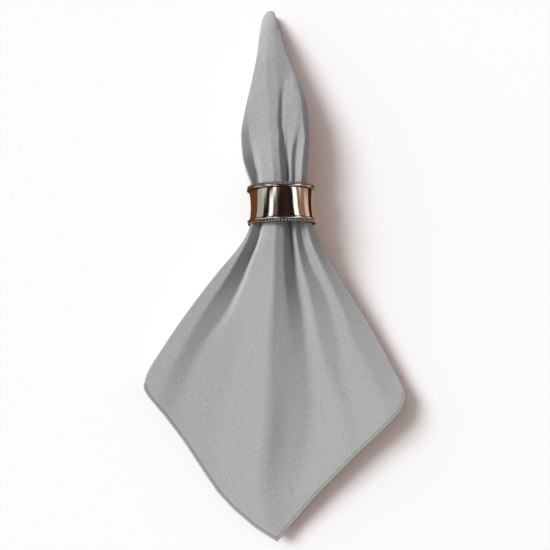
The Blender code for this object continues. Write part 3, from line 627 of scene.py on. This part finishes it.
def build_napkin():
    """One closed sheet: an outer and an inner side, joined along the hem. Its UV map is the flat cloth."""
    all_columns = columns()
    grid = sheet_grid(all_columns)
    tip = np.array(list(TIP.values()))
    normals = grid_normals(grid, tip)
    distance = hem_distance(grid, all_columns)
    half = half_thickness(distance)[..., None]
    outer = grid + half * normals
    inner = grid - half * normals
    outer[..., 2] = np.maximum(outer[..., 2], 0.0)
    inner[..., 2] = np.maximum(inner[..., 2], 0.0)
    rows, count = grid.shape[:2]
    split = count - len(WRAP_ANGLES) - BOTTOM_COLUMNS // 2
    flat = flat_places(grid, tip, split)
    used = rows_used(all_columns, rows)

    mesh = bmesh.new()
    uv_layer = mesh.loops.layers.uv.new("flat_cloth")
    from_hem = mesh.verts.layers.float.new("from_hem")
    outer_vertices = {(r, c): mesh.verts.new(outer[r, c]) for c in range(count) for r in used[c]}
    inner_vertices = {(r, c): mesh.verts.new(inner[r, c]) for c in range(count) for r in used[c]}
    for vertices in (outer_vertices, inner_vertices):
        for (r, c), vertex in vertices.items():
            vertex[from_hem] = distance[r, c]
    outer_tip = mesh.verts.new(tip + np.array([0.0, half[0, 0, 0], 0.0]))
    inner_tip = mesh.verts.new(tip - np.array([0.0, half[0, 0, 0], 0.0]))
    outer_tip[from_hem] = inner_tip[from_hem] = NAPKIN_SIDE / 2

    def face(corners, places):
        made = mesh.faces.new(corners)
        made.smooth = True
        for loop, place in zip(made.loops, places):
            loop[uv_layer].uv = place

    for c in range(count):
        d = (c + 1) % count
        u = (c - split) % count
        for vertices, way in ((outer_vertices, 1), (inner_vertices, -1)):
            end = outer_tip if way > 0 else inner_tip
            corners = [end, vertices[0, c], vertices[0, d]]
            places = [(0.0, 0.0), flat[0, u], flat[0, u + 1]]
            face(corners[::way], places[::way])
            common = [r for r in used[c] if r in set(used[d])]
            for first, last in zip(common[:-1], common[1:]):
                down = [r for r in used[c] if first <= r <= last]
                up = [r for r in reversed(used[d]) if first <= r <= last]
                corners = [vertices[r, c] for r in down] + [vertices[r, d] for r in up]
                places = [flat[r, u] for r in down] + [flat[r, u + 1] for r in up]
                face(corners[::way], places[::way])
        last = rows - 1
        corners = [outer_vertices[last, d], outer_vertices[last, c]]
        corners += [inner_vertices[last, c], inner_vertices[last, d]]
        face(corners, [flat[last, u + 1], flat[last, u], flat[last, u], flat[last, u + 1]])
    bmesh.ops.triangulate(mesh, faces=mesh.faces[:])
    data = bpy.data.meshes.new("napkin_cloth")
    mesh.to_mesh(data)
    mesh.free()
    napkin = bpy.data.objects.new("napkin_cloth", data)
    bpy.context.scene.collection.objects.link(napkin)
    return napkin


def rows_used(all_columns, rows):
    """The rows that each column has: all of them on the top layer, fewer on the hidden ones."""
    every = list(range(rows))
    hem_start = rows - HEM_ROWS - 1
    fewer = [r for r in every if r % HIDDEN_ROW_STEP == 0 and r < hem_start]
    fewer += [r for r in every if r >= hem_start and (rows - 1 - r) % 2 == 0]
    if 0 not in fewer:
        fewer.insert(0, 0)
    return [every if layer == 0 and kind == "layer" else fewer for kind, layer, _ in all_columns]


# Ring

def ring_profile():
    """Closed profile of the ring's wall as (radius, place along the axis)."""
    lip_circle = RING_RIM_RADIUS - LIP_RADIUS
    lip_place = RING_LENGTH / 2 - LIP_RADIUS
    waist = RING_WAIST_BORE_RADIUS + RING_WALL
    rise = lip_circle - FLARE_GAP - waist
    outside = []
    for i in range(-FLARE_STEPS, FLARE_STEPS + 1):
        share = i / (FLARE_STEPS + 1)
        outside.append((waist + rise * abs(share) ** FLARE_POWER, share * lip_place))
    inside = [(radius - RING_WALL, place) for radius, place in reversed(outside)]
    return outside + lip(lip_place, lip_circle, 1) + inside + lip(-lip_place, lip_circle, -1)


def lip(place, circle, end):
    """The round lip at one end of the wall, from its outside to its inside."""
    points = []
    for step in range(LIP_STEPS + 1):
        angle = math.radians(LIP_HALF_TURN * (1 - 2 * step / LIP_STEPS))
        points.append((circle + LIP_RADIUS * math.sin(angle), place + end * LIP_RADIUS * math.cos(angle)))
    return points[::end]


def spin_profile(name, profile, steps):
    """Draws a closed profile from a circle of points and spins it round the Y axis."""
    bpy.ops.mesh.primitive_circle_add(vertices=len(profile), radius=0.01)
    piece = bpy.context.active_object
    piece.name = piece.data.name = name
    for vertex, (radius, place) in zip(piece.data.vertices, profile):
        vertex.co = (radius, place, 0.0)
    bpy.ops.object.mode_set(mode="EDIT")
    bpy.ops.mesh.select_all(action="SELECT")
    bpy.ops.mesh.spin(steps=steps, angle=2 * math.pi, center=(0, 0, 0), axis=(0, 1, 0))
    bpy.ops.mesh.select_all(action="SELECT")
    bpy.ops.mesh.remove_doubles(threshold=WELD_DISTANCE)
    bpy.ops.mesh.normals_make_consistent(inside=False)
    bpy.ops.object.mode_set(mode="OBJECT")
    bpy.ops.object.shade_smooth()
    return piece


def put_on_ring(piece):
    """Moves a piece that was made round the origin to the ring's place, by its vertices."""
    bpy.ops.object.select_all(action="DESELECT")
    piece.select_set(True)
    bpy.context.view_layer.objects.active = piece
    piece.rotation_euler = RING_TURN
    piece.location = RING_CENTRE
    bpy.ops.object.transform_apply()


def build_bead_row(name, end):
    """A wire with a row of beads on it, outside one lip."""
    bpy.ops.mesh.primitive_torus_add(
        major_segments=BEAD_WIRE_STEPS, minor_segments=BEAD_WIRE_SIDES, major_radius=BEAD_CIRCLE_RADIUS,
        minor_radius=BEAD_WIRE_RADIUS, rotation=(math.pi / 2, 0, 0), location=(0, end * BEAD_PLACE, 0))
    wire = bpy.context.active_object
    wire.name = wire.data.name = name
    bpy.ops.mesh.primitive_uv_sphere_add(segments=BEAD_SEGMENTS, ring_count=BEAD_RINGS, radius=BEAD_RADIUS)
    first = bpy.context.active_object
    beads = [first]
    for _ in range(BEADS - 1):
        bead = first.copy()
        bead.data = first.data.copy()
        bpy.context.scene.collection.objects.link(bead)
        beads.append(bead)
    for number, bead in enumerate(beads):
        angle = 2 * math.pi * number / BEADS
        bead.rotation_euler = (0.0, angle, 0.0)
        across = BEAD_CIRCLE_RADIUS * math.sin(angle)
        up = BEAD_CIRCLE_RADIUS * math.cos(angle)
        bead.location = (across, end * BEAD_PLACE, up)
        bead.select_set(True)
    wire.select_set(True)
    bpy.context.view_layer.objects.active = wire
    bpy.ops.object.join()
    bpy.ops.object.shade_smooth()
    bpy.ops.object.transform_apply()
    return wire


# Materials

def hex_colour(text):
    """An sRGB hex value as a linear colour."""
    channels = [int(text[i:i + 2], 16) / 255 for i in (1, 3, 5)]
    linear = [c / 12.92 if c <= 0.04045 else ((c + 0.055) / 1.055) ** 2.4 for c in channels]
    return (*linear, 1.0)


def add_node(tree, kind, settings=(), values=(), links=()):
    """Adds a node: settings are its own properties, values its sockets' constants, links (socket, source)."""
    node = tree.nodes.new(kind)
    for name, value in dict(settings).items():
        setattr(node, name, value)
    for name, value in dict(values).items():
        node.inputs[name].default_value = value
    for name, source in dict(links).items():
        tree.links.new(source, node.inputs[name])
    return node


def new_material(name):
    """An empty node material with its output, as (material, tree, output)."""
    material = bpy.data.materials.new(name)
    material.use_nodes = True
    tree = material.node_tree
    tree.nodes.clear()
    return material, tree, tree.nodes.new("ShaderNodeOutputMaterial")


def table_linen():
    """Smooth table linen, bleached and mangled: even grey, a fine broken grain and hardly any shine."""
    material, tree, output = new_material("grey_table_linen")
    place = add_node(tree, "ShaderNodeTexCoord")
    turned = add_node(tree, "ShaderNodeMapping", values={"Rotation": (0, 0, math.radians(45))},
                      links={"Vector": place.outputs["UV"]})

    # The eye sees threads only as a fine grain: short streaks along both of them
    streaks = []
    for stretch in ((1.0, 0.22, 1.0), (0.22, 1.0, 1.0)):
        stretched = add_node(tree, "ShaderNodeMapping", values={"Scale": stretch},
                             links={"Vector": turned.outputs["Vector"]})
        streak = add_node(tree, "ShaderNodeTexNoise", values={
            "Scale": 1 / (GRAIN * 1.2), "Detail": 2.0, "Roughness": 0.6},
            links={"Vector": stretched.outputs["Vector"]})
        streaks.append(streak.outputs["Fac"])
    grain = add_node(tree, "ShaderNodeMath", {"operation": "ADD"}, links={0: streaks[0], 1: streaks[1]})
    tone = add_node(tree, "ShaderNodeMapRange", values={"From Min": 0.72, "From Max": 1.28},
                    links={"Value": grain.outputs["Value"]})
    colour = add_node(tree, "ShaderNodeMix", {"data_type": "RGBA"}, links={"Factor": tone.outputs["Result"]})
    colour.inputs["A"].default_value = hex_colour("#9A9B9C")
    colour.inputs["B"].default_value = hex_colour("#B2B3B4")

    # Sewing thread draws the hem's inner edge in: painted shade darkens that stitch groove and the turned
    # edge, partly also for the denser sewn hem
    distance = add_node(tree, "ShaderNodeAttribute", {"attribute_name": "from_hem"})
    away_share = add_node(tree, "ShaderNodeMapRange", values={"From Max": HEM_TONES_REACH * MM},
                          links={"Value": distance.outputs["Fac"]})
    hem_painted_shade = add_node(tree, "ShaderNodeValToRGB", links={"Fac": away_share.outputs["Result"]})
    stops = hem_painted_shade.color_ramp.elements
    while len(stops) < len(HEM_TONES):
        stops.new(1.0)
    for stop, (away, grey) in zip(stops, HEM_TONES):
        stop.position = away / HEM_TONES_REACH
        stop.color = (grey, grey, grey, 1.0)
    hem_shaded_colour = add_node(tree, "ShaderNodeMix", {"data_type": "RGBA", "blend_type": "MULTIPLY"},
                    {"Factor": 1.0}, {"A": colour.outputs["Result"], "B": hem_painted_shade.outputs["Color"]})
    bump = add_node(tree, "ShaderNodeBump", values={"Strength": 0.3, "Distance": 0.12 * MM},
                    links={"Height": grain.outputs["Value"]})
    shader = add_node(tree, "ShaderNodeBsdfPrincipled", values={
        "Diffuse Roughness": 0.8, "Roughness": 0.6, "Specular IOR Level": 0.35, "Sheen Weight": 0.08,
        "Sheen Roughness": 0.4},
        links={"Base Color": hem_shaded_colour.outputs["Result"], "Normal": bump.outputs["Normal"]})
    tree.links.new(shader.outputs["BSDF"], output.inputs["Surface"])
    return material


def ring_place(tree):
    """Places measured from the middle of the ring, with Y along its axis."""
    place = add_node(tree, "ShaderNodeTexCoord")
    return add_node(tree, "ShaderNodeMapping", {"vector_type": "TEXTURE"},
                    {"Location": RING_CENTRE, "Rotation": RING_TURN}, {"Vector": place.outputs["Object"]})


def silver_with_painted_shade(tree, unshaded):
    """Silver darkened by painted shade where unshaded is 0, plain bright silver where it is 1."""
    colour = add_node(tree, "ShaderNodeMix", {"data_type": "RGBA"}, links={"Factor": unshaded.outputs["Result"]})
    colour.inputs["A"].default_value = hex_colour("#4A3F38")
    colour.inputs["B"].default_value = hex_colour("#EEEAE3")
    return colour


def patchy_roughness(tree, place, size, detail, limits):
    """Roughness that changes between its limits in soft patches of that size."""
    patches = add_node(tree, "ShaderNodeTexNoise", values={"Scale": 1 / size, "Detail": detail},
                       links={"Vector": place.outputs["Vector"]})
    return add_node(tree, "ShaderNodeMapRange", values={
        "From Min": 0.35, "From Max": 0.75, "To Min": limits[0], "To Max": limits[1]},
        links={"Value": patches.outputs["Fac"]})


def polished_silver():
    """Silver plate, spun and polished: a mirror, faintly lined by the wheel, with painted shade in the crease
    beside each lip.
    """
    material, tree, output = new_material("polished_silver_plate")
    place = ring_place(tree)
    split = add_node(tree, "ShaderNodeSeparateXYZ", links={"Vector": place.outputs["Vector"]})
    from_middle = add_node(tree, "ShaderNodeMath", {"operation": "ABSOLUTE"}, links={0: split.outputs["Y"]})
    # Painted shade: a dark narrow band in the crease where each lip rolls back into the wall.
    crease = RING_LENGTH / 2 - 2 * LIP_RADIUS
    from_crease = add_node(tree, "ShaderNodeMath", {"operation": "SUBTRACT"}, {1: crease},
                           {0: from_middle.outputs["Value"]})
    beside = add_node(tree, "ShaderNodeMath", {"operation": "ABSOLUTE"},
                      links={0: from_crease.outputs["Value"]})
    unshaded = add_node(tree, "ShaderNodeMapRange", values={"From Min": 0.15 * MM, "From Max": 0.5 * MM},
                     links={"Value": beside.outputs["Value"]})
    lines_place = add_node(tree, "ShaderNodeMapping", values={"Scale": (0.04, 1.0, 0.04)},
                           links={"Vector": place.outputs["Vector"]})
    lines = add_node(tree, "ShaderNodeTexNoise", values={"Scale": 1 / (0.4 * MM), "Detail": 4.0},
                     links={"Vector": lines_place.outputs["Vector"]})
    rough = patchy_roughness(tree, place, 5 * MM, 4.0, (0.04, 0.14))
    bump = add_node(tree, "ShaderNodeBump", values={"Strength": 0.12, "Distance": 0.05 * MM},
                    links={"Height": lines.outputs["Fac"]})
    shader = add_node(tree, "ShaderNodeBsdfPrincipled", values={"Metallic": 1.0}, links={
        "Base Color": silver_with_painted_shade(tree, unshaded).outputs["Result"], "Roughness": rough.outputs["Result"],
        "Normal": bump.outputs["Normal"]})
    tree.links.new(shader.outputs["BSDF"], output.inputs["Surface"])
    return material


def beaded_silver():
    """The same silver, plain and bright on the beads' outer tops, with painted shade between and under them,
    where the grooves are.
    """
    material, tree, output = new_material("beaded_silver_plate")
    place = ring_place(tree)
    flat = add_node(tree, "ShaderNodeVectorMath", {"operation": "MULTIPLY"}, {1: (1.0, 0.0, 1.0)},
                    {0: place.outputs["Vector"]})
    radius = add_node(tree, "ShaderNodeVectorMath", {"operation": "LENGTH"},
                      links={0: flat.outputs["Vector"]})
    # Painted shade: darker between and under the beads, plain silver on their outer tops.
    start, end = (BEAD_CIRCLE_RADIUS + share * BEAD_RADIUS for share in BEAD_SHADE_TO_BRIGHT)
    unshaded = add_node(tree, "ShaderNodeMapRange", values={"From Min": start, "From Max": end},
                     links={"Value": radius.outputs["Value"]})
    rough = patchy_roughness(tree, place, 3 * MM, 3.0, (0.15, 0.3))
    shader = add_node(tree, "ShaderNodeBsdfPrincipled", values={"Metallic": 1.0}, links={
        "Base Color": silver_with_painted_shade(tree, unshaded).outputs["Result"], "Roughness": rough.outputs["Result"]})
    tree.links.new(shader.outputs["BSDF"], output.inputs["Surface"])
    return material


def finish_piece(piece, material, node):
    """Gives a piece its material, lets it stand for its solid and puts it on the one body."""
    piece.data.materials.clear()
    piece.data.materials.append(material)
    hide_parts(node)
    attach(piece, "root")


# Stage

def pale_floor():
    """Plain pale floor with a faint warm glow painted in: the glow tints its shadows warm, and its slightly
    cool colour keeps the lit floor white.
    """
    material, tree, output = new_material("pale_floor")
    # Painted warm shadow: a faint warm glow from a floor that is no lamp, evened out on the lit floor by a
    # slightly cool base colour.
    shader = add_node(tree, "ShaderNodeBsdfPrincipled", values={
        "Base Color": (0.735, 0.80, 0.83, 1.0), "Roughness": 1.0, "Specular IOR Level": 0.0,
        "Emission Color": (1.0, 0.34, 0.14, 1.0), "Emission Strength": 0.115})
    tree.links.new(shader.outputs["BSDF"], output.inputs["Surface"])
    return material


def room_part(tree, share, strips):
    """Colours of one part of the room, with soft edges between its strips."""
    ramp = add_node(tree, "ShaderNodeValToRGB", links={"Fac": share.outputs["Result"]})
    stops = ramp.color_ramp.elements
    while len(stops) < 2 * len(strips):
        stops.new(1.0)
    ends = [start for start, _ in strips[1:]] + [180.0]
    places = [(start + STRIP_SOFTNESS, name) for start, name in strips]
    places += [(end - STRIP_SOFTNESS, name) for end, (_, name) in zip(ends, strips)]
    for stop, (place, name) in zip(stops, sorted(places)):
        stop.position = (place + 180.0) / 360.0
        stop.color = hex_colour(ROOM_COLOURS[name])
    return ramp


def room_around():
    """What polished metal mirrors: dark room, bright windows and warm wood, in strips along the napkin."""
    material, tree, output = new_material("room_around")
    place = add_node(tree, "ShaderNodeTexCoord")
    split = add_node(tree, "ShaderNodeSeparateXYZ", links={"Vector": place.outputs["Object"]})
    angle = add_node(tree, "ShaderNodeMath", {"operation": "ARCTAN2"},
                     links={0: split.outputs["X"], 1: split.outputs["Z"]})
    narrowing = add_node(tree, "ShaderNodeMath", {"operation": "MULTIPLY_ADD"}, {1: -ROOM_SPREAD, 2: 1.0},
                         {0: split.outputs["Y"]})
    spread = add_node(tree, "ShaderNodeMath", {"operation": "MULTIPLY"},
                      links={0: angle.outputs["Value"], 1: narrowing.outputs["Value"]})
    share = add_node(tree, "ShaderNodeMapRange", values={"From Min": -math.pi, "From Max": math.pi},
                     links={"Value": spread.outputs["Value"]})
    north = add_node(tree, "ShaderNodeMapRange", values={"From Min": -ROOM_BLEND, "From Max": ROOM_BLEND},
                     links={"Value": split.outputs["Y"]})
    colour = add_node(tree, "ShaderNodeMix", {"data_type": "RGBA"}, links={
        "Factor": north.outputs["Result"], "A": room_part(tree, share, SOUTH_ROOM).outputs["Color"],
        "B": room_part(tree, share, NORTH_ROOM).outputs["Color"]})
    glow = add_node(tree, "ShaderNodeEmission", values={"Strength": ROOM_GLOW},
                    links={"Color": colour.outputs["Result"]})
    tree.links.new(glow.outputs["Emission"], output.inputs["Surface"])
    material.cycles.emission_sampling = "NONE"
    return material


def add_stage():
    """Floor, key light, soft fill and the surroundings that the ring mirrors."""
    bpy.ops.mesh.primitive_plane_add(size=FLOOR_SIZE)
    floor = bpy.context.active_object
    floor.name = "floor"
    floor.data.materials.append(pale_floor())
    floor.visible_glossy = False

    bpy.ops.mesh.primitive_cylinder_add(
        vertices=ROOM_SIDES, radius=ROOM_RADIUS, depth=ROOM_LENGTH, end_fill_type="NOTHING",
        location=RING_CENTRE, rotation=(math.pi / 2, 0, 0))
    bpy.ops.object.transform_apply(location=False, rotation=True, scale=False)
    room = bpy.context.active_object
    room.name = "room_around"
    room.data.materials.append(room_around())
    # The room glows but shows only in reflections: painted reflections, lighting no diffuse surface.
    for seen_by in ("camera", "diffuse", "shadow", "transmission"):
        setattr(room, "visible_" + seen_by, False)

    for row in LIGHTS:
        light = bpy.data.lights.new(row["name"], "SUN")
        light.energy = row["strength"]
        light.angle = math.radians(row["angle"])
        light.color = LIGHT_COLOUR
        lamp = bpy.data.objects.new(row["name"], light)
        lamp.rotation_euler = (0.0, math.radians(90.0 - row["elevation"]), math.radians(LIGHT_BEARING))
        lamp.visible_glossy = False
        bpy.context.scene.collection.objects.link(lamp)

    world = bpy.data.worlds.new("soft_room")
    world.use_nodes = True
    background = world.node_tree.nodes["Background"]
    background.inputs["Color"].default_value = FILL_COLOUR
    background.inputs["Strength"].default_value = FILL_STRENGTH
    bpy.context.scene.world = world


def add_camera():
    """Straight above the middle of the table, top of the picture towards +Y."""
    data = bpy.data.cameras.new("camera")
    data.sensor_width = SENSOR
    data.lens = SENSOR / 2 * CAMERA_HEIGHT / CAMERA_HALF_VIEW
    data.clip_start = 0.01
    camera = bpy.data.objects.new("camera", data)
    camera.location = (0.0, 0.0, CAMERA_HEIGHT)
    bpy.context.scene.collection.objects.link(camera)
    bpy.context.scene.camera = camera
    bpy.context.scene.view_settings.view_transform = "Standard"


def main():
    napkin = build_napkin()
    finish_piece(napkin, table_linen(), "napkin")

    band = spin_profile("ring_band_polished", ring_profile(), RING_STEPS)
    put_on_ring(band)
    finish_piece(band, polished_silver(), "ring_band")
    beads_material = beaded_silver()
    for name, end in (("bead_rim_south", -1), ("bead_rim_north", 1)):
        beads = build_bead_row(name + "_beaded", end)
        put_on_ring(beads)
        finish_piece(beads, beads_material, name)

    add_stage()
    add_camera()


main()
